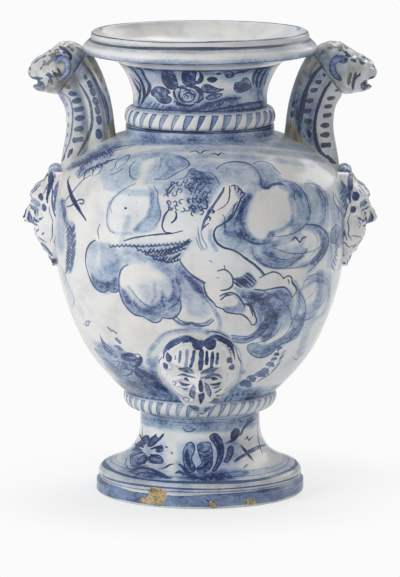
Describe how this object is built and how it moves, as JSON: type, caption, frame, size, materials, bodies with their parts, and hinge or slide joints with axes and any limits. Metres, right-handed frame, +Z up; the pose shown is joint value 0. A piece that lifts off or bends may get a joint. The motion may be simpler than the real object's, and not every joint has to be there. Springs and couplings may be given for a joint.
{
  "type": "majolica amphora",
  "caption": "Tin-glazed two-handled amphora with feline-headed handles, grotesque masks, notched cords, wide flanged rim and pedestal foot.",
  "frame": {"origin": "centre of the foot's resting face, on the surface the vessel stands on", "axes": "+Z up along the vessel's axis, -Y towards the painted front with its own mask, handles on +X and -X"},
  "size_m": [0.3836, 0.321, 0.4999],
  "materials": {
    "painted_tin_glaze": "gloss",
    "blue_washed_glaze": "gloss"
  },
  "bodies": {
    "root": {"foot_plinth": "blue_washed_glaze", "foot_stem": "blue_washed_glaze", "stem_cord": "painted_tin_glaze", "lower_body": "painted_tin_glaze", "upper_body": "painted_tin_glaze", "neck_cord": "painted_tin_glaze", "neck": "painted_tin_glaze", "rim": "painted_tin_glaze", "left_handle": "painted_tin_glaze", "right_handle": "painted_tin_glaze", "left_head": "painted_tin_glaze", "right_head": "painted_tin_glaze", "left_front_ear": "blue_washed_glaze", "left_back_ear": "blue_washed_glaze", "right_front_ear": "blue_washed_glaze", "right_back_ear": "blue_washed_glaze", "left_mask": "painted_tin_glaze", "right_mask": "painted_tin_glaze", "left_mask_curl": "blue_washed_glaze", "right_mask_curl": "blue_washed_glaze", "front_mask": "painted_tin_glaze"}
  },
  "joints": []
}
